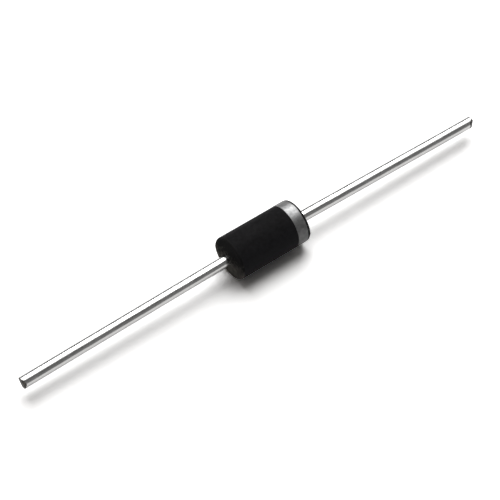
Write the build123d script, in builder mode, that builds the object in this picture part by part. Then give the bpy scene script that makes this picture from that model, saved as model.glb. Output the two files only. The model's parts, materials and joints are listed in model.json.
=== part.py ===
from build123d import *

import os
from math import atan2, cos, hypot, radians, sin, tan

# Axial rectifier diode: a headed wire at each end, a soldered chip between them, and a moulded body.
# Units are millimetres. X is the diode's axis and the banded cathode end is +X. Z is up, and the origin
# is the middle of the moulded body. The diode lies on its barrel, with both leads clear of the surface.

# Moulded epoxy body
body_diameter = 5.0
body_length = 9.2
body_rim_radius = 0.25  # rounding round each end of the barrel
end_draft = 3.0  # degrees that each half of an end leans in from the parting plane, to leave the mould

# Lead wires
lead_diameter = 1.3
lead_length = 25.5  # along the wire, from the body's end to the tip
lead_straight = 0.5  # stretch outside the body that is still in line with it
lead_bend_radius = 10.0
anode_droop = 1.1  # degrees that the lead hangs below the body's axis
cathode_droop = 1.4
tip_chamfer = 0.05

# Two slanting faces that the cutter's jaws left on opposite sides of each tip
anode_cut_length = 0.3
cathode_cut_length = 0.55
anode_cut_side = 62.0  # degrees from the top of the wire round towards -Y, to the deeper face
cathode_cut_side = 88.0
cut_depth = 0.28  # at the tip
opposite_cut_depth = 0.25

# Nail head that each lead is soldered by
head_diameter = 2.0
head_thickness = 0.45
head_bulge = 0.04  # how far upsetting swells the rim between its two faces
head_neck = 0.15  # taper from the wire to the head's back

# Pinched stretch of each lead inside the body, whose ears stop it from turning or pulling out
pinch_gap = 0.15  # round wire between the rubber and the pinch
pinch_length = 1.4
pinch_width = 1.8  # across the ears

# Silicon chip and the solder on its two faces
chip_side = 2.4  # its larger, cathode face
chip_thickness = 0.26
chip_bevel = 0.1  # the anode face is smaller by this much on every side
solder_diameter = 1.9
solder_thickness = 0.08

# Silicone rubber drop over the junction
coating_over_corners = 0.25  # rubber outside the chip's corners
coating_crown_radius = 0.6
coating_flank_angle = 45.0  # degrees between the wires and the drop's two flanks

# Cathode band, a film of ink on the barrel
band_width = 1.3
band_thickness = 0.02
band_gap = 0.02  # bare barrel between the band and the rounded rim

# Sizes that follow from those above
lead_radius = lead_diameter / 2
body_radius = body_diameter / 2
body_end = body_length / 2
rim_setback = body_radius * tan(radians(end_draft))  # how far the top of an end lies behind its middle
barrel_end = body_end - rim_setback - body_rim_radius
head_radius = head_diameter / 2
head_face = chip_thickness / 2 + solder_thickness
head_back = head_face + head_thickness
chip_corner_radius = hypot(chip_side / 2, chip_side / 2)
crown_top = chip_corner_radius + coating_over_corners
flank_slope = radians(coating_flank_angle)
flank_peak = crown_top + coating_crown_radius * (1 / cos(flank_slope) - 1)  # where the two flanks would meet
flank_foot = flank_peak / tan(flank_slope)  # where a flank would meet the axis, inside the wire
coating_end = (flank_peak - lead_radius) / tan(flank_slope)  # where a flank runs out on the wire
pinch_start = coating_end + pinch_gap
pinch_end = pinch_start + pinch_length
pinch_thickness = lead_diameter**2 / pinch_width  # pinching keeps the wire's section area
band_end = barrel_end - band_gap


# Lead with its nail head, drawn on the cathode side, with the droop and the cut tip that it is given
def headed_lead(droop, cut_side, cut_length):
    with BuildPart() as lead:
        with BuildSketch(Plane.XY):
            with BuildLine():
                rim = ThreePointArc(
                    (head_face, head_radius - head_bulge),
                    ((head_face + head_back) / 2, head_radius),
                    (head_back, head_radius - head_bulge),
                )
                Polyline(
                    rim @ 1,
                    (head_back, lead_radius + head_neck),
                    (head_back + head_neck, lead_radius),
                    (pinch_start, lead_radius),
                    (pinch_start, 0),
                    (head_face, 0),
                    rim @ 0,
                )
            make_face()
        revolve(axis=Axis.X)

        # The round wire swells into two flat ears and back
        with BuildSketch(Plane.YZ.offset(pinch_start)):
            Circle(lead_radius)
        with BuildSketch(Plane.YZ.offset((pinch_start + pinch_end) / 2)):
            Ellipse(pinch_width / 2, pinch_thickness / 2)
        with BuildSketch(Plane.YZ.offset(pinch_end)):
            Circle(lead_radius)
        loft()

        # The rest of the wire leaves the body, bends down a little and runs straight to its tip
        with BuildLine(Plane.XZ):
            inside = Line((pinch_end, 0), (body_end + lead_straight, 0))
            bend = JernArc(inside @ 1, inside % 1, lead_bend_radius, -droop)
            run_length = lead_length - lead_straight - bend.length
            run = Line(bend @ 1, (bend @ 1) + (bend % 1) * run_length)
        with BuildSketch(Plane.YZ.offset(pinch_end)):
            Circle(lead_radius)
        sweep(path=Wire([inside, bend, run]))
        chamfer(lead.edges().group_by(Axis.X)[-1], tip_chamfer)

        # Each face starts at the wire's skin and is deepest at the tip
        end = Plane(origin=run @ 1, x_dir=(0, 1, 0), z_dir=run % 1)
        side = radians(cut_side)
        skin = end.y_dir * cos(side) - end.x_dir * sin(side)
        for outward, depth in ((skin, cut_depth), (-skin, opposite_cut_depth)):
            slant = atan2(depth, cut_length)
            reached = end.origin + outward * (lead_radius - depth)
            face = Plane(origin=reached, z_dir=outward * cos(slant) + end.z_dir * sin(slant))
            split(bisect_by=face, keep=Keep.BOTTOM)
    return lead.part


with BuildPart() as cathode_lead:
    add(headed_lead(cathode_droop, cathode_cut_side, cathode_cut_length))

# The anode lead is the same wire facing the other way, bent a little less and with shorter cut faces
with BuildPart() as anode_lead:
    mirror(headed_lead(anode_droop, anode_cut_side, anode_cut_length), about=Plane.YZ)

# Chip, with its wide cathode face at +X
with BuildPart() as silicon_chip:
    with BuildSketch(Plane.YZ.offset(chip_thickness / 2)):
        Rectangle(chip_side, chip_side)
    with BuildSketch(Plane.YZ.offset(-chip_thickness / 2)):
        Rectangle(chip_side - 2 * chip_bevel, chip_side - 2 * chip_bevel)
    loft(ruled=True)

# Solder discs between the chip and the two heads
with BuildPart() as cathode_solder:
    with BuildSketch(Plane.YZ.offset(chip_thickness / 2)):
        Circle(solder_diameter / 2)
    extrude(amount=solder_thickness)

with BuildPart() as anode_solder:
    mirror(cathode_solder.part, about=Plane.YZ)

# Whole drop of rubber, before the pieces inside it are taken out
with BuildPart() as rubber_drop:
    with BuildSketch(Plane.XY) as drop_section:
        with BuildLine():
            Polyline((-flank_foot, 0), (0, flank_peak), (flank_foot, 0), close=True)
        make_face()
        peak = drop_section.vertices().sort_by(Axis.Y)[-1]
        fillet(peak, coating_crown_radius)
    revolve(axis=Axis.X)

with BuildPart() as junction_coating:
    add(rubber_drop.part)
    for inner in (cathode_lead, anode_lead, silicon_chip, cathode_solder, anode_solder):
        add(inner.part, mode=Mode.SUBTRACT)

# Moulded body: the side view gives the leaning ends, and the round end view trims it to a barrel
with BuildPart() as body:
    with BuildSketch(Plane.XZ):
        with BuildLine():
            Polyline(
                (body_end, 0),
                (body_end - rim_setback, body_radius),
                (-body_end + rim_setback, body_radius),
                (-body_end, 0),
                (-body_end + rim_setback, -body_radius),
                (body_end - rim_setback, -body_radius),
                close=True,
            )
        make_face()
    extrude(amount=body_radius, both=True)
    with BuildSketch(Plane.YZ):
        Circle(body_radius)
    extrude(amount=body_end, both=True, mode=Mode.INTERSECT)
    rims = body.edges().filter_by(GeomType.LINE, reverse=True)
    fillet(rims, body_rim_radius)
    for inner in (rubber_drop, cathode_lead, anode_lead):
        add(inner.part, mode=Mode.SUBTRACT)

# Cathode band
with BuildPart() as cathode_band:
    with BuildSketch(Plane.YZ.offset(band_end)):
        Circle(body_radius + band_thickness)
        Circle(body_radius, mode=Mode.SUBTRACT)
    extrude(amount=-band_width)

pieces = {
    "body": body,
    "cathode_band": cathode_band,
    "anode_lead": anode_lead,
    "cathode_lead": cathode_lead,
    "silicon_chip": silicon_chip,
    "anode_solder": anode_solder,
    "cathode_solder": cathode_solder,
    "junction_coating": junction_coating,
}
os.makedirs("parts", exist_ok=True)
for name, piece in pieces.items():
    piece.part.label = name
    export_step(piece.part, f"parts/{name}.step")
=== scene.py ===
import json
from math import asin, atan, cos, exp, hypot, pi, radians, sin, tan

import bmesh
import bpy
from mathutils import Matrix, Vector, noise

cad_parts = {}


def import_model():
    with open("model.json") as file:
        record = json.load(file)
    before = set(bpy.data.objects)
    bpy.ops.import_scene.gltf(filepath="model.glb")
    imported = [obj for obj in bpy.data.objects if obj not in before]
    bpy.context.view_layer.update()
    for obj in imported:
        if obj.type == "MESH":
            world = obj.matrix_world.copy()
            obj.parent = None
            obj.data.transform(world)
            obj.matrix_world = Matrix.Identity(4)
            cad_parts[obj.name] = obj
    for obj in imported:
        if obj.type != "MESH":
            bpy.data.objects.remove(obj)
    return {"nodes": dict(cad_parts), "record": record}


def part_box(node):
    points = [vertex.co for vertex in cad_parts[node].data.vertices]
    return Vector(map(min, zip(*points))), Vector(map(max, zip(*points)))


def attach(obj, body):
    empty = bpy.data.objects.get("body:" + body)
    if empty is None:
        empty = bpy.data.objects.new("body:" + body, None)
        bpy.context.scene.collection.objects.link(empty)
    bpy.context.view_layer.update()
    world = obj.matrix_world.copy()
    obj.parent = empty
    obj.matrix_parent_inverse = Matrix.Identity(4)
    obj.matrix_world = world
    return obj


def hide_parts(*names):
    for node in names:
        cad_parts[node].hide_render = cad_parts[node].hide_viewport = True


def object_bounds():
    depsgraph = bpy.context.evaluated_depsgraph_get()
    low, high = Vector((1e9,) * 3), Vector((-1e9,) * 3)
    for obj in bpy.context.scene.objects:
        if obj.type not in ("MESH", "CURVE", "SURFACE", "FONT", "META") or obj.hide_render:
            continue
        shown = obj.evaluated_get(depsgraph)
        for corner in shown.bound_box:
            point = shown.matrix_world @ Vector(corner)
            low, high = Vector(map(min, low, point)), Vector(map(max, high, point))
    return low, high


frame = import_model()
cad_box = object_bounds()

# Blender works in metres. The diode's own sizes below are in millimetres
MM = 0.001


def corners(node):
    """Lowest and highest corner of a CAD node, in millimetres."""
    low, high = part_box(node)
    return low / MM, high / MM


# Sizes that the CAD nodes give
BODY_END = corners("body")[1].x
BODY_RADIUS = corners("body")[1].y
BAND_START = corners("cathode_band")[0].x
BAND_END = corners("cathode_band")[1].x
BAND_RADIUS = corners("cathode_band")[1].y
RUBBER_END = corners("junction_coating")[1].x
RUBBER_TOP = corners("junction_coating")[1].y
HEAD_FACE = corners("cathode_lead")[0].x
HEAD_RADIUS = corners("cathode_lead")[1].y
PINS = {mount["name"]: mount for mount in frame["record"]["mounts"]}
WIRE_RADIUS = PINS["cathode_pin"]["dims"]["r_mm"]

# Sizes that a node's box doesn't give, as in the part's source
END_DRAFT = radians(3.0)
RIM_RADIUS = 0.25
CROWN_RADIUS = 0.6
HEAD_THICKNESS = 0.45
HEAD_BULGE = 0.04
HEAD_NECK = 0.15
PINCH_GAP = 0.15
PINCH_LENGTH = 1.4
PINCH_WIDTH = 1.8
LEAD_STRAIGHT = 0.5
LEAD_BEND_RADIUS = 10.0
TIP_CHAMFER = 0.05
CUT_LENGTHS = {"anode_pin": 0.3, "cathode_pin": 0.55}  # slanting faces that the cutter's jaws left at a tip
CUT_DEPTHS = (0.28, 0.25)
CUT_SIDES = {"anode_pin": radians(62.0), "cathode_pin": radians(88.0)}  # from the wire's top round towards -Y
FLANK_ANGLE = radians(45.0)
PINCH_START = RUBBER_END + PINCH_GAP
PINCH_END = PINCH_START + PINCH_LENGTH
PINCH_THICKNESS = (2 * WIRE_RADIUS) ** 2 / PINCH_WIDTH

# Small marks of manufacture that only the visible meshes have
FLASH_HEIGHT = 0.012  # line left where the mould's halves meet
FLASH_HALF_WIDTH = 0.03
COLLAR_HEIGHT = 0.03  # resin that has crept up each lead
COLLAR_WIDTH = 0.1
GATE_WIDTH = 0.9  # broken-off stub of the runner, on the side that faces away
GATE_HEIGHT = 0.3
GATE_RAISED = 0.018
GATE_SQUARE = 6  # how square the stub's edges are
BAND_WAVE = 0.025  # waviness of the printed edges
BAND_WAVES = 3  # in a radius of the band
BAND_INSET = 0.5  # how far the edge by the rim stands back, as a share of its waviness
BAND_SHOULDER = ((0, 0), (0.5, 0.75), (2, 1))  # steps inwards and up, in thicknesses of the film
WIRE_WANDER = 0.02  # how far a lead strays from a straight line
WANDER_START = 4.0  # stretch over which the straying sets in
WANDER_LENGTH = 9.0  # distance along the wire from one stray to the next
WIRE_RIPPLE = 0.003
RIPPLES_ALONG = 0.8  # in a millimetre
RIPPLES_ROUND = 2  # in a radius of the wire
CUT_ROLL = 0.05  # how softly the wire's skin rolls over into a cut
CUT_LEAD_IN = CUT_ROLL * 3  # finely divided stretch before a cut
CUT_SEEN = 0.04  # depth from which the skin is torn
CUT_RAGGED = 0.02
RAGGED_WAVES = 9  # in a radius of the wire, and in a millimetre along it
CUT_SCUFFS = {"anode_pin": 0.14, "cathode_pin": 0.55}  # length of the dull skin next to the end
SCUFF_LEAST = 0.1  # share of that length between the jaws
SCUFF_FRAY = 0.25  # share by which its edge is frayed
SCUFF_WAVES = 2  # in a radius of the wire
CHAMFER_ROUND = 0.3  # share of the chamfer by which its middle stands back
TIP_TEAR = 0.03  # hollow in the torn end
TEAR_WAVES = 4  # in a millimetre

# Places in the noise that keep two patterns apart
NOISE_BY_LEAD = 5
NOISE_BY_RIM = Vector((0, 0, 9))
NOISE_UPWARDS = Vector((0, 0, 7))
NOISE_SCUFF = 3

# Fineness of the meshes
BARREL_SIDES = 176
BARREL_STEPS = 24
PARTING_STEPS = (0.003, 0.007, 0.012, 0.018, 0.025)  # extra angles beside the parting line
FACE_SHARES = (0, 0.02, 0.05, 0.1, 0.2, 0.32, 0.44, 0.56, 0.68, 0.8, 0.9, 0.97)  # from the lead to the rim
RIM_STEPS = 10
HOLLOW_STEP = 0.4  # between the stations of the hollow's straight stretch
HOLLOW_STRAIGHT_STEPS = 3
HOLLOW_PINCH_STEPS = 8
FLANK_STEPS = 4
CROWN_STEPS = 4
BAND_SIDES = 256
BAND_STEPS = 6
LEAD_SIDES = 96
LEAD_STEP = 0.3
HEAD_SHARES = (0.3, 0.6, 0.85)  # from the middle of a head's face to its rim
HEAD_STEPS = 6
PINCH_STEPS = 10
CUT_STEPS = 16
TIP_SHARES = (0.92, 0.8, 0.65, 0.5, 0.35, 0.2, 0.1)  # from the edge of the tip to its middle
SHARP_ANGLE = radians(32.0)  # edges from which the shading breaks

# Camera of the photograph, fitted to the outline of the body and the leads
PHOTO_SIDE = 500
FOCAL_PX = 1476.0
SENSOR = 36.0
CAMERA_AZIMUTH = radians(-37.493)
CAMERA_ELEVATION = radians(49.569)
CAMERA_DISTANCE = 156.93 * MM
BODY_PX = (262.95, 239.47)  # where the body's middle shows in the photograph
CLIP_NEAR = 0.005
CLIP_FAR = 20.0

# Key light, in metres and watts
KEY_DIRECTION = Vector((0.369, 0.4975, 1.0)).normalized()
KEY_DISTANCE = 0.9
KEY_WIDE = 0.85
KEY_DEEP = 0.91
KEY_POWER = 9.6

# Dim light from all round
AMBIENT = 0.115
AMBIENT_COLOUR = (1, 0.92, 0.84, 1)

# Floor and cards: greys for the light they throw back, for reflections and for the camera
FLOOR_LIT = 0.6
FLOOR_MIRRORED = 0.92
FLOOR_SHOWN = 1.6
ROOM_LIT = 0.14
ROOM_MIRRORED = 0.306
WALL_GREY = 0.1

# Their sizes in metres, and the cards' edges as angles above the floor
FLOOR_HALF = 4.0
CARD_RADIUS = 0.39
CARD_HALF_WIDTH = 0.8
CARD_STEPS = 24
ROOM_TOP = 72.0
WALL_TOP = 37.5

# Finishes
TIN_BASE = 0.8
TIN_ROUGH = 0.18
CUT_DARK = (0.052, 0.049, 0.045)
CUT_PALE = (0.143, 0.138, 0.13)
INK_BASE = 0.25
INK_METAL = 0.7823
INK_ROUGH = 0.4095
INK_PAINTED_SHADE = 0.45  # brightness of the ink's painted shade, as a share of the rest
INK_SHADE_HEIGHTS = (1.0, 1.9)  # the ink has painted shade below the first height and none above the second
INK_SHADE_MOST = 0.7  # share of painted shade in the lowest stretch
EPOXY_BASE = 0.0095
BARREL_SPEC = 0.015
BARREL_ROUGH = 0.5
RIM_SPEC = 0.12
RIM_ROUGH = 0.8
FACE_SPEC = 0.09
FACE_ROUGH = 0.9

# Painted light on the moulding, a lighter colour low down that stands for light from below: its colour, the height
# above which there is none, and how far patches shift that height
BARREL_PAINTED_LIGHT = ((0.029, 0.0285, 0.031), 2.7, 0.3)
# painted light: on the ends and their rounding it stands for the floor's reflection and bounce, with a sheen on the
# lower rounding
END_PAINTED_LIGHT = ((0.1, 0.094, 0.085), 0.9, 0.95)
PAINTED_LIGHT_FADE = 2.1  # height over which it thins out

# Where nearly all values of a noise lie, and a narrower stretch for patches with plainer edges
NOISE_RANGE = (0.3, 0.7)
PATCH_RANGE = (0.35, 0.65)

REST_Z = cad_box[0].z


def camera():
    """The photograph's view. The body's middle is a little off the picture's middle."""
    a, e = CAMERA_AZIMUTH, CAMERA_ELEVATION
    forward = Vector((-sin(a) * cos(e), cos(a) * cos(e), -sin(e)))
    right = Vector((cos(a), sin(a), 0))
    up = right.cross(forward)
    half = PHOTO_SIDE / 2
    aside = (BODY_PX[0] - half) / FOCAL_PX * CAMERA_DISTANCE
    above = (half - BODY_PX[1]) / FOCAL_PX * CAMERA_DISTANCE
    data = bpy.data.cameras.new("camera")
    data.sensor_width = SENSOR
    data.lens = FOCAL_PX / PHOTO_SIDE * SENSOR
    data.clip_start = CLIP_NEAR
    data.clip_end = CLIP_FAR
    eye = bpy.data.objects.new("camera", data)
    turn = Matrix((right, up, -forward)).transposed().to_4x4()
    eye.matrix_world = Matrix.Translation(-CAMERA_DISTANCE * forward - aside * right - above * up) @ turn
    bpy.context.scene.collection.objects.link(eye)
    bpy.context.scene.camera = eye


# Materials

class Finish:
    """A node material with one Principled shader and patterns laid out in millimetres."""

    def __init__(self, name, **plain):
        self.material = bpy.data.materials.new(name)
        self.material.use_nodes = True
        tree = self.material.node_tree
        tree.nodes.clear()
        self.nodes, self.links = tree.nodes, tree.links
        self.shader = self.nodes.new("ShaderNodeBsdfPrincipled")
        out = self.nodes.new("ShaderNodeOutputMaterial")
        self.links.new(self.shader.outputs["BSDF"], out.inputs["Surface"])
        for socket, value in plain.items():
            self.shader.inputs[socket.replace("_", " ")].default_value = value
        place = self.nodes.new("ShaderNodeTexCoord")
        scale = self.nodes.new("ShaderNodeVectorMath")
        scale.operation = "SCALE"
        scale.inputs["Scale"].default_value = 1 / MM
        self.links.new(place.outputs["Object"], scale.inputs[0])
        self.place = scale.outputs[0]
        self.normal = None

    def noise(self, per_mm, detail=2.0, rough=0.5, stretch=(1, 1, 1)):
        """Noise between 0 and 1, with so many waves in a millimetre along each axis."""
        mapping = self.nodes.new("ShaderNodeMapping")
        mapping.inputs["Scale"].default_value = [per_mm * way for way in stretch]
        self.links.new(self.place, mapping.inputs["Vector"])
        made = self.nodes.new("ShaderNodeTexNoise")
        made.inputs["Scale"].default_value = 1
        made.inputs["Detail"].default_value = detail
        made.inputs["Roughness"].default_value = rough
        self.links.new(mapping.outputs["Vector"], made.inputs["Vector"])
        return made.outputs[0]

    def axis(self, letter):
        """One of the surface's own coordinates, in millimetres."""
        made = self.nodes.new("ShaderNodeSeparateXYZ")
        self.links.new(self.place, made.inputs[0])
        return made.outputs[letter]

    def math(self, operation, *values):
        made = self.nodes.new("ShaderNodeMath")
        made.operation = operation
        for socket, value in zip(made.inputs, values):
            if isinstance(value, (int, float)):
                socket.default_value = value
            else:
                self.links.new(value, socket)
        return made.outputs[0]

    def remap(self, value, low, high, to_low, to_high):
        """A value carried over from one range to another, whose ends it doesn't pass."""
        made = self.nodes.new("ShaderNodeMapRange")
        made.clamp = True
        for socket, number in zip(("From Min", "From Max", "To Min", "To Max"), (low, high, to_low, to_high)):
            made.inputs[socket].default_value = number
        self.links.new(value, made.inputs["Value"])
        return made.outputs[0]

    def spread(self, pattern, low, high):
        """A noise stretched so that it runs from one value to another."""
        return self.remap(pattern, *NOISE_RANGE, low, high)

    def patches(self, pattern, first, second):
        """A noise as patches of two colours that run into each other."""
        return self.blend(self.remap(pattern, *PATCH_RANGE, 0, 1), first, second)

    def blend(self, share, first, second):
        """A colour between two, where each is a plain colour or a socket."""
        made = self.nodes.new("ShaderNodeMix")
        made.data_type = "RGBA"
        self.links.new(share, made.inputs["Factor"])
        for socket, value in zip((made.inputs[6], made.inputs[7]), (first, second)):
            if isinstance(value, tuple):
                socket.default_value = (*value, 1)
            else:
                self.links.new(value, socket)
        return made.outputs[2]

    def drive(self, socket, value):
        self.links.new(value, self.shader.inputs[socket])

    def bump(self, height, depth):
        """Relief of so many millimetres, on top of any relief made before."""
        made = self.nodes.new("ShaderNodeBump")
        made.inputs["Strength"].default_value = 1.0
        made.inputs["Distance"].default_value = depth * MM
        self.links.new(height, made.inputs["Height"])
        if self.normal:
            self.links.new(self.normal, made.inputs["Normal"])
        self.normal = made.outputs["Normal"]
        self.drive("Normal", self.normal)


def shade(level, red, green, blue):
    return level * red, level * green, level * blue


def epoxy(name, gloss, rough, painted_light):
    """Black filled epoxy with the fine dull grain of a spark-eroded mould, and painted light below a height: a lighter
    colour that stands for light from below.
    """
    made = Finish(name, Specular_IOR_Level=gloss)
    painted_light_colour, clear_from, uneven = painted_light
    cloud = made.noise(0.7, 3)
    grain = made.noise(14, 3, 0.6)
    colour = made.patches(cloud, shade(EPOXY_BASE, 0.9, 0.88, 0.92), shade(EPOXY_BASE, 1.14, 1.1, 1.15))
    # painted light: the colour grows lighter towards the bottom
    height = made.math("ADD", made.axis("Z"), made.spread(made.noise(2.2, 3, 0.55), -uneven, uneven))
    painted_light_share = made.remap(height, clear_from - PAINTED_LIGHT_FADE, clear_from, 1, 0)
    made.drive("Base Color", made.blend(painted_light_share, colour, painted_light_colour))
    made.drive("Roughness", made.spread(grain, rough - 0.06, rough + 0.08))
    made.bump(grain, 0.004)
    made.bump(made.noise(2.5, 2), 0.006)
    return made.material


def ink():
    """Silver ink: fine flakes in a binder, a little uneven as the roller has laid it down, and with painted shade that
    darkens it low down.
    """
    made = Finish("silver_ink", Metallic=INK_METAL, Specular_IOR_Level=0.3)
    patch = made.noise(2.2, 3, 0.6)
    flakes = made.noise(22, 2, 0.7)
    level = made.math("ADD", made.spread(patch, -0.6, 0.6), made.spread(flakes, -0.3, 0.3))
    dull, bright = shade(INK_BASE, 0.68, 0.69, 0.7), shade(INK_BASE, 1.3, 1.3, 1.3)
    height = made.math("ADD", made.axis("Z"), made.spread(patch, -0.3, 0.3))
    colour = made.blend(made.remap(level, -0.8, 0.8, 0, 1), dull, bright)
    # painted shade: the ink turns darker towards the bottom, where it faces away from the light
    share = made.remap(height, *INK_SHADE_HEIGHTS, INK_SHADE_MOST, 0)
    made.drive("Base Color", made.blend(share, colour, shade(INK_BASE, INK_PAINTED_SHADE, INK_PAINTED_SHADE, INK_PAINTED_SHADE)))
    made.drive("Roughness", made.spread(patch, INK_ROUGH + 0.05, INK_ROUGH - 0.05))
    made.bump(flakes, 0.003)
    made.bump(patch, 0.014)
    return made.material


def tin():
    """Bright tin plating over a drawn wire, with faint streaks and dull specks."""
    made = Finish("tin_plating", Metallic=1.0)
    streaks = made.noise(1.0, 3, 0.6, stretch=(0.12, 7, 7))
    cloud = made.noise(0.9, 3)
    specks = made.noise(3.2, 4, 0.7, stretch=(0.6, 1, 1))
    level = made.math("ADD", made.spread(streaks, -0.5, 0.5), made.spread(cloud, -0.5, 0.5))
    worn, bright = shade(TIN_BASE, 0.9, 0.9, 0.89), shade(TIN_BASE, 1.06, 1.06, 1.05)
    colour = made.blend(made.remap(level, -1, 1, 0, 1), worn, bright)
    speck = shade(TIN_BASE, 0.6, 0.59, 0.57)
    made.drive("Base Color", made.blend(made.remap(specks, 0.68, 0.76, 0, 1), colour, speck))
    made.drive("Roughness", made.spread(cloud, TIN_ROUGH - 0.04, TIN_ROUGH + 0.06))
    made.bump(streaks, 0.002)
    made.bump(made.noise(1.1, 2, stretch=(0.5, 1, 1)), 0.012)
    return made.material


def cut_metal():
    """Sheared end of a wire: copper and smeared tin, gone dull."""
    made = Finish("sheared_metal", Metallic=1.0)
    smear = made.noise(4, 3, 0.6, stretch=(0.5, 1, 1))
    share = made.remap(smear, 0.4, 0.65, 0, 1)
    made.drive("Base Color", made.blend(share, CUT_DARK, CUT_PALE))
    made.drive("Roughness", made.remap(smear, 0.4, 0.65, 0.55, 0.38))
    made.bump(made.noise(12, 4, 0.7), 0.02)
    return made.material


def plain_finish(name, first, second, per_mm, depth, **plain):
    """A hidden piece's finish: two close colours and a slight relief."""
    made = Finish(name, **plain)
    pattern = made.noise(per_mm, 3)
    made.drive("Base Color", made.patches(pattern, first, second))
    made.bump(pattern, depth)
    return made.material


# Meshes

def piece(name, rows, faces, slot, *materials):
    """A smooth mesh that rides on the diode's one body, from points in millimetres."""
    mesh = bpy.data.meshes.new(name)
    mesh.from_pydata([Vector(point) * MM for point in rows], [], faces)
    shaped = bmesh.new()
    shaped.from_mesh(mesh)
    bmesh.ops.recalc_face_normals(shaped, faces=shaped.faces)
    shaped.to_mesh(mesh)
    shaped.free()
    mesh.shade_smooth()
    mesh.set_sharp_from_angle(angle=SHARP_ANGLE)
    for material in materials:
        mesh.materials.append(material)
    made = bpy.data.objects.new(name, mesh)
    bpy.context.scene.collection.objects.link(made)
    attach(made, "root")
    return made


def loops(columns):
    """Faces between closed columns of points that stand side by side all the way round the axis."""
    count, height = len(columns), len(columns[0])
    faces = []
    for k in range(count):
        for i in range(height):
            j, n = (i + 1) % height, (k + 1) % count
            faces.append((k * height + i, k * height + j, n * height + j, n * height + i))
    return [point for column in columns for point in column], faces


def around(steps, fine=()):
    """Angles round the axis from +Y towards +Z, with extra ones close to each of the parting lines."""
    angles = {2 * pi * k / steps for k in range(steps)}
    for middle in (0, pi):
        for extra in fine:
            angles.add((middle + extra) % (2 * pi))
            angles.add((middle - extra) % (2 * pi))
    return sorted(angles)


def turned(x, radius, angle):
    return Vector((x, radius * cos(angle), radius * sin(angle)))


def flash(z):
    """How far the parting line stands out at a height."""
    return FLASH_HEIGHT * exp(-((z / FLASH_HALF_WIDTH) ** 2))


def gate_stub(x, z):
    """How far the broken-off stub stands out."""
    square = GATE_SQUARE
    return GATE_RAISED * exp(-((x / GATE_WIDTH * 2) ** square)) * exp(-((z / GATE_HEIGHT * 2) ** square))


def end_profile(lift):
    """Half section of the body's end, from lead to barrel. Lift is the sine of the angle round the axis."""
    lean = tan(END_DRAFT) * abs(lift)
    centre_r = BODY_RADIUS - RIM_RADIUS
    centre_x = BODY_END - RIM_RADIUS * hypot(1, lean) - lean * centre_r
    face = [WIRE_RADIUS + (centre_r - WIRE_RADIUS) * share for share in FACE_SHARES]
    points = []
    for radius in face:
        creep = COLLAR_HEIGHT * exp(-(radius - WIRE_RADIUS) / COLLAR_WIDTH * 2)
        points.append((BODY_END - lean * radius + creep, radius))
    start = atan(lean)
    for i in range(RIM_STEPS + 1):
        turn = start + (pi / 2 - start) * i / RIM_STEPS
        points.append((centre_x + RIM_RADIUS * cos(turn), centre_r + RIM_RADIUS * sin(turn)))
    return points


def pinched(x, angle):
    """Radius of the wire inside the body, where it is pressed into two flat ears."""
    half = PINCH_LENGTH / 2
    share = max(0, 1 - abs(x - PINCH_START - half) / half)
    wide = WIRE_RADIUS + (PINCH_WIDTH / 2 - WIRE_RADIUS) * share
    thick = WIRE_RADIUS + (PINCH_THICKNESS / 2 - WIRE_RADIUS) * share
    return wide * thick / hypot(thick * cos(angle), wide * sin(angle))


def hollow_stations():
    """Places along the hollow, from an end of the body to its middle, and the radius there if it is round."""
    places = [(BODY_END - HOLLOW_STEP * k, None) for k in range(1, HOLLOW_STRAIGHT_STEPS + 1)]
    places += [(PINCH_END - PINCH_LENGTH * k / HOLLOW_PINCH_STEPS, None) for k in range(HOLLOW_PINCH_STEPS + 1)]
    places += [(RUBBER_END, WIRE_RADIUS)]
    crown_x = CROWN_RADIUS * sin(FLANK_ANGLE)
    flank = RUBBER_END - crown_x
    for k in range(1, FLANK_STEPS):
        inward = flank * k / FLANK_STEPS
        places.append((RUBBER_END - inward, WIRE_RADIUS + inward * tan(FLANK_ANGLE)))
    for k in range(CROWN_STEPS + 1):
        turn = FLANK_ANGLE * (1 - k / CROWN_STEPS)
        places.append((CROWN_RADIUS * sin(turn), RUBBER_TOP - CROWN_RADIUS * (1 - cos(turn))))
    return places


def body_column(angle, inside):
    """Points at one angle, over an end, along the barrel, over the other end and back through the hollow."""
    end = end_profile(sin(angle))
    barrel = end[-1][0]
    z = BODY_RADIUS * sin(angle)
    column = [turned(x + flash(radius * sin(angle)), radius, angle) for x, radius in end]
    for k in range(1, BARREL_STEPS):
        x = barrel * (1 - 2 * k / BARREL_STEPS)
        raised = max(flash(z), gate_stub(x, z) if cos(angle) > 0 else 0)
        column.append(turned(x, BODY_RADIUS + raised, angle))
    column += [turned(-x - flash(radius * sin(angle)), radius, angle) for x, radius in reversed(end)]
    return column + [turned(-x, radius or pinched(abs(x), angle), angle) for x, radius in inside]


def body():
    """Moulded barrel with leaning ends, a parting line, and the hollow that the leads and the rubber fill."""
    inside = hollow_stations()
    inside += [(-x, radius) for x, radius in reversed(inside[:-1])]
    rows, faces = loops([body_column(angle, inside) for angle in around(BARREL_SIDES, PARTING_STEPS)])
    barrel = epoxy("moulded_epoxy", BARREL_SPEC, BARREL_ROUGH, BARREL_PAINTED_LIGHT)
    rounding = epoxy("moulded_epoxy_rounding", RIM_SPEC, RIM_ROUGH, END_PAINTED_LIGHT)
    ends = epoxy("moulded_epoxy_ends", FACE_SPEC, FACE_ROUGH, END_PAINTED_LIGHT)
    made = piece("moulded_body", rows, faces, "moulding", barrel, rounding, ends)
    rim_from = BODY_RADIUS - RIM_RADIUS
    for face in made.data.polygons:
        place = face.center / MM
        if abs(place.x) > end_profile(0)[-1][0] - RIM_RADIUS / 2:
            face.material_index = 1 if hypot(place.y, place.z) > rim_from else 2
    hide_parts("body")


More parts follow.
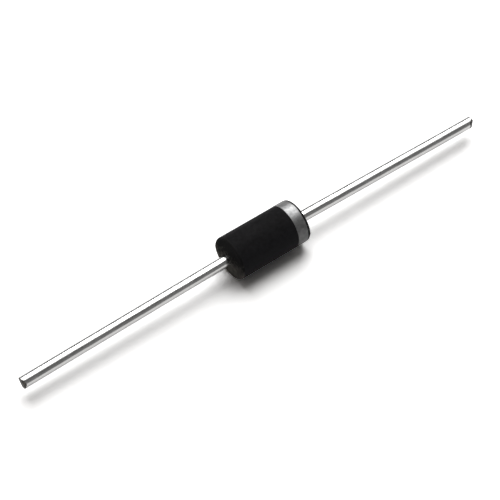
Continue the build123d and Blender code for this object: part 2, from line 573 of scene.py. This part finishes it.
def band():
    """Ring of ink with slightly wavy edges and a rounded shoulder."""
    film = BAND_RADIUS - BODY_RADIUS
    columns = []
    for angle in around(BAND_SIDES):
        spot = Vector((cos(angle), sin(angle), 0)) * BAND_WAVES
        first = BAND_START + BAND_WAVE * noise.noise(spot)
        last = BAND_END - BAND_WAVE * (BAND_INSET + noise.noise(spot + NOISE_BY_RIM))
        section = [(first + film * inward, film * up) for inward, up in BAND_SHOULDER]
        section += [(first + (last - first) * k / BAND_STEPS, film) for k in range(1, BAND_STEPS)]
        section += [(last - film * inward, film * up) for inward, up in reversed(BAND_SHOULDER)]
        columns.append([turned(x, BODY_RADIUS + raised, angle) for x, raised in section])
    rows, faces = loops(columns)
    made = piece("cathode_band_ink", rows, faces, "band_ink", ink())
    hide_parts("cathode_band")


class Wire:
    """The axis of one lead, which bends down a little outside the body and runs straight to its tip."""

    def __init__(self, pin_name, side):
        pin = PINS[pin_name]
        self.side = side
        self.droop = asin(-pin["axis"][2])
        self.bend_from = BODY_END + LEAD_STRAIGHT
        self.bend_to = self.bend_from + LEAD_BEND_RADIUS * self.droop
        self.cut_from = self.bend_to + pin["dims"]["length_mm"]
        self.cut_length = CUT_LENGTHS[pin_name]
        self.scuff = CUT_SCUFFS[pin_name]
        self.end = self.cut_from + self.cut_length
        self.seed = Vector((0, NOISE_BY_LEAD * side, 0))
        self.jaws = [(CUT_SIDES[pin_name] + turn, depth) for turn, depth in zip((0, pi), CUT_DEPTHS)]

    def axis(self, along):
        """Point on the axis at a distance along the wire, with the upward and onward directions there."""
        turn = min(max(along - self.bend_from, 0) / LEAD_BEND_RADIUS, self.droop)
        x = min(along, self.bend_from) + LEAD_BEND_RADIUS * sin(turn)
        z = -LEAD_BEND_RADIUS * (1 - cos(turn))
        rest = max(along - self.bend_to, 0)
        point = Vector((x + rest * cos(turn), 0, z - rest * sin(turn)))
        free = min(max(along - self.bend_from, 0) / WANDER_START, 1)
        place = Vector((along / WANDER_LENGTH, 0, 0)) + self.seed
        point.y += WIRE_WANDER * free * noise.noise(place)
        point.z += WIRE_WANDER * free * noise.noise(place + NOISE_UPWARDS)
        return point, Vector((sin(turn), 0, cos(turn))), Vector((cos(turn), 0, -sin(turn)))

    def cut_away(self, along, angle):
        """How much the jaws have taken off the wire's radius. The angle goes from +Y towards the top."""
        share = 1 - (self.end - along) / self.cut_length
        away = 0
        for side, depth in self.jaws:
            facing = cos(angle - pi / 2 - side)
            if facing > 0:
                bite = WIRE_RADIUS - (WIRE_RADIUS - depth * share) / facing
                away = max(away, (bite + hypot(bite, CUT_ROLL)) / 2)
        return away

    def scuff_start(self, angle):
        """Where the dull skin next to the end begins. It is longest where a jaw has bitten."""
        bite = abs(cos(angle - pi / 2 - self.jaws[0][0]))
        frayed = 1 + SCUFF_FRAY * noise.noise(Vector((NOISE_SCUFF, cos(angle), sin(angle))) * SCUFF_WAVES)
        return self.end - self.scuff * (SCUFF_LEAST + bite) * frayed

    def point(self, along, radius, angle, ahead=0.0):
        """A point round the axis, for a radius that the wire has where no jaw has pressed it."""
        centre, up, forward = self.axis(along)
        if along > self.bend_to:
            ripple = Vector((along * RIPPLES_ALONG, RIPPLES_ROUND * cos(angle), RIPPLES_ROUND * sin(angle))) + self.seed
            radius *= 1 + (WIRE_RIPPLE * noise.noise(ripple) - self.cut_away(along, angle)) / WIRE_RADIUS
        offset = Vector((0, radius * cos(angle), 0)) + up * radius * sin(angle)
        made = centre + offset + forward * ahead
        return Vector((made.x * self.side, made.y, made.z))


def lead_rings(wire):
    """Distances along the lead with the radius there, from its head's face to the edge of its tip."""
    back = HEAD_FACE + HEAD_THICKNESS
    rings = [(HEAD_FACE, HEAD_RADIUS * share) for share in HEAD_SHARES]
    for k in range(HEAD_STEPS + 1):
        share = k / HEAD_STEPS
        rings.append((HEAD_FACE + HEAD_THICKNESS * share, HEAD_RADIUS - HEAD_BULGE * (2 * share - 1) ** 2))
    rings.append((back, WIRE_RADIUS + HEAD_NECK))
    rings.append((back + HEAD_NECK, WIRE_RADIUS))
    rings += [(PINCH_START + PINCH_LENGTH * k / PINCH_STEPS, None) for k in range(PINCH_STEPS + 1)]
    along = PINCH_END
    roll_from = wire.cut_from - CUT_LEAD_IN
    while along < roll_from - LEAD_STEP:
        along += LEAD_STEP
        rings.append((along, WIRE_RADIUS))
    last = wire.end - TIP_CHAMFER
    rings += [(roll_from + (last - roll_from) * k / CUT_STEPS, WIRE_RADIUS) for k in range(CUT_STEPS + 1)]
    rings.append((wire.end - TIP_CHAMFER * CHAMFER_ROUND, WIRE_RADIUS - TIP_CHAMFER * CHAMFER_ROUND))
    rings.append((wire.end, WIRE_RADIUS - TIP_CHAMFER))
    return rings


def lead_rows(wire, angles, rings):
    """Points from the middle of the head's face to the middle of the torn tip."""
    rows = [wire.point(HEAD_FACE, 0, 0)]
    for along, radius in rings:
        for angle in angles:
            rows.append(wire.point(along, radius or pinched(along, angle), angle))
    for share in TIP_SHARES:
        radius = (WIRE_RADIUS - TIP_CHAMFER) * share
        for angle in angles:
            torn = noise.noise(Vector((0, radius * cos(angle), radius * sin(angle))) * TEAR_WAVES + wire.seed)
            rows.append(wire.point(wire.end, radius, angle, -TIP_TEAR * (1 - share) * (1 + torn)))
    rows.append(wire.point(wire.end, 0, 0, -TIP_TEAR))
    return rows


def is_torn(wire, along, angle):
    """Whether a spot of the skin is torn or scuffed, and no longer shows its plating."""
    ragged = CUT_SEEN + CUT_RAGGED * noise.noise(Vector((along, cos(angle), sin(angle))) * RAGGED_WAVES)
    return along > wire.scuff_start(angle) or wire.cut_away(along, angle) > ragged


def lead_faces(wire, angles, rings):
    """Faces between the lead's rows, and for each whether its metal is torn."""
    count = len(angles)
    total = len(rings) + len(TIP_SHARES)
    faces = [(0, 1 + k, 1 + (k + 1) % count) for k in range(count)]
    cut = [False] * count
    for i in range(total - 1):
        first, second = 1 + i * count, 1 + (i + 1) * count
        along = rings[min(i + 1, len(rings) - 1)][0]
        for k in range(count):
            n = (k + 1) % count
            faces.append((first + k, first + n, second + n, second + k))
            cut.append(i >= len(rings) - 1 or is_torn(wire, along, angles[k] + pi / LEAD_SIDES))
    last = 1 + (total - 1) * count
    faces += [(last + k, last + (k + 1) % count, last + count) for k in range(count)]
    cut += [True] * count
    return faces, cut


def lead(name, node, pin_name, side, plating, sheared):
    wire = Wire(pin_name, side)
    angles = around(LEAD_SIDES)
    rings = lead_rings(wire)
    faces, cut = lead_faces(wire, angles, rings)
    made = piece(name, lead_rows(wire, angles, rings), faces, "tinned_wire", plating, sheared)
    for face, torn in zip(made.data.polygons, cut):
        face.material_index = int(torn)
    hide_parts(node)


# Setting

def mixed_by_ray(nodes, links, rays, plain, shown):
    """Mixes two shaders, the second for the kinds of ray that are named."""
    path = nodes.new("ShaderNodeLightPath")
    seen = path.outputs[rays[0]]
    for ray in rays[1:]:
        either = nodes.new("ShaderNodeMath")
        either.operation = "MAXIMUM"
        links.new(seen, either.inputs[0])
        links.new(path.outputs[ray], either.inputs[1])
        seen = either.outputs[0]
    mix = nodes.new("ShaderNodeMixShader")
    links.new(seen, mix.inputs[0])
    links.new(plain.outputs[0], mix.inputs[1])
    links.new(shown.outputs[0], mix.inputs[2])
    return mix


def world():
    """White to the camera and in reflections, and dim as a light."""
    made = bpy.data.worlds.new("studio")
    bpy.context.scene.world = made
    made.use_nodes = True
    nodes, links = made.node_tree.nodes, made.node_tree.links
    nodes.clear()
    dim = nodes.new("ShaderNodeBackground")
    dim.inputs["Color"].default_value = AMBIENT_COLOUR
    dim.inputs["Strength"].default_value = AMBIENT
    white = nodes.new("ShaderNodeBackground")
    white.inputs["Color"].default_value = (1, 1, 1, 1)
    white.inputs["Strength"].default_value = 1.0
    mix = mixed_by_ray(nodes, links, ("Is Camera Ray", "Is Glossy Ray", "Is Transmission Ray"), dim, white)
    out = nodes.new("ShaderNodeOutputWorld")
    links.new(mix.outputs[0], out.inputs["Surface"])


def stage_piece(name, points, faces, material):
    mesh = bpy.data.meshes.new(name)
    mesh.from_pydata(points, [], faces)
    mesh.materials.append(material)
    made = bpy.data.objects.new(name, mesh)
    bpy.context.scene.collection.objects.link(made)
    return made


def stage_grey(name, lit, mirrored, shown):
    """Matt greys for the light that a surface throws back, for reflections and for the camera."""
    material = bpy.data.materials.new(name)
    material.use_nodes = True
    nodes, links = material.node_tree.nodes, material.node_tree.links
    nodes.clear()
    shaders = []
    for level in (lit, mirrored, shown):
        shaders.append(nodes.new("ShaderNodeBsdfDiffuse"))
        shaders[-1].inputs["Color"].default_value = (level, level, level, 1)
    mix = mixed_by_ray(nodes, links, ("Is Glossy Ray", "Is Transmission Ray"), shaders[0], shaders[1])
    mix = mixed_by_ray(nodes, links, ("Is Camera Ray",), mix, shaders[2])
    out = nodes.new("ShaderNodeOutputMaterial")
    links.new(mix.outputs[0], out.inputs["Surface"])
    return material


def floor():
    side = FLOOR_HALF
    plan = [(-side, -side), (side, -side), (side, side), (-side, side)]
    white = stage_grey("floor_white", FLOOR_LIT, FLOOR_MIRRORED, FLOOR_SHOWN)
    stage_piece("floor", [(x, y, REST_Z) for x, y in plan], [(0, 1, 2, 3)], white)


def card(name, lit, mirrored, low, high):
    """A curved card over the diode, between two angles from vertical towards +Y, hidden from the camera."""
    points = []
    for i in range(CARD_STEPS + 1):
        lean = low + (high - low) * i / CARD_STEPS
        for x in (-CARD_HALF_WIDTH, CARD_HALF_WIDTH):
            points.append((x, CARD_RADIUS * sin(lean), REST_Z + CARD_RADIUS * cos(lean)))
    faces = [(2 * i, 2 * i + 1, 2 * i + 3, 2 * i + 2) for i in range(CARD_STEPS)]
    made = stage_piece(name, points, faces, stage_grey(name + "_grey", lit, mirrored, mirrored))
    made.visible_camera = False
    made.visible_shadow = False


def key_light():
    data = bpy.data.lights.new("key", "AREA")
    data.shape = "RECTANGLE"
    data.size = KEY_WIDE
    data.size_y = KEY_DEEP
    data.energy = KEY_POWER
    lamp = bpy.data.objects.new("key", data)
    lamp.location = KEY_DIRECTION * KEY_DISTANCE
    lamp.rotation_mode = "QUATERNION"
    lamp.rotation_quaternion = KEY_DIRECTION.to_track_quat("Z", "Y")
    bpy.context.scene.collection.objects.link(lamp)


def dress(node, material):
    """Gives a CAD node that stays its material."""
    mesh = frame["nodes"][node].data
    mesh.materials.clear()
    mesh.materials.append(material)


bpy.context.scene.view_settings.view_transform = "Standard"
camera()
world()
floor()
card("dark_room", ROOM_LIT, ROOM_MIRRORED, radians(-90), radians(ROOM_TOP - 90))
card("back_wall", WALL_GREY, WALL_GREY, radians(90 - WALL_TOP), radians(90))
key_light()

body()
band()
plating, sheared = tin(), cut_metal()
lead("anode_wire", "anode_lead", "anode_pin", -1, plating, sheared)
lead("cathode_wire", "cathode_lead", "cathode_pin", 1, plating, sheared)
solder = plain_finish(
    "soft_solder", (0.5, 0.5, 0.51), (0.56, 0.56, 0.57), 5, 0.01, Metallic=1.0, Roughness=0.35)
dress("anode_solder", solder)
dress("cathode_solder", solder)
dress("silicon_chip", plain_finish(
    "silicon", (0.15, 0.16, 0.19), (0.17, 0.18, 0.21), 3, 0.001, Metallic=0.6, Roughness=0.15))
dress("junction_coating", plain_finish(
    "silicone_rubber", (0.72, 0.72, 0.69), (0.78, 0.78, 0.75), 2, 0.01, Roughness=0.4))
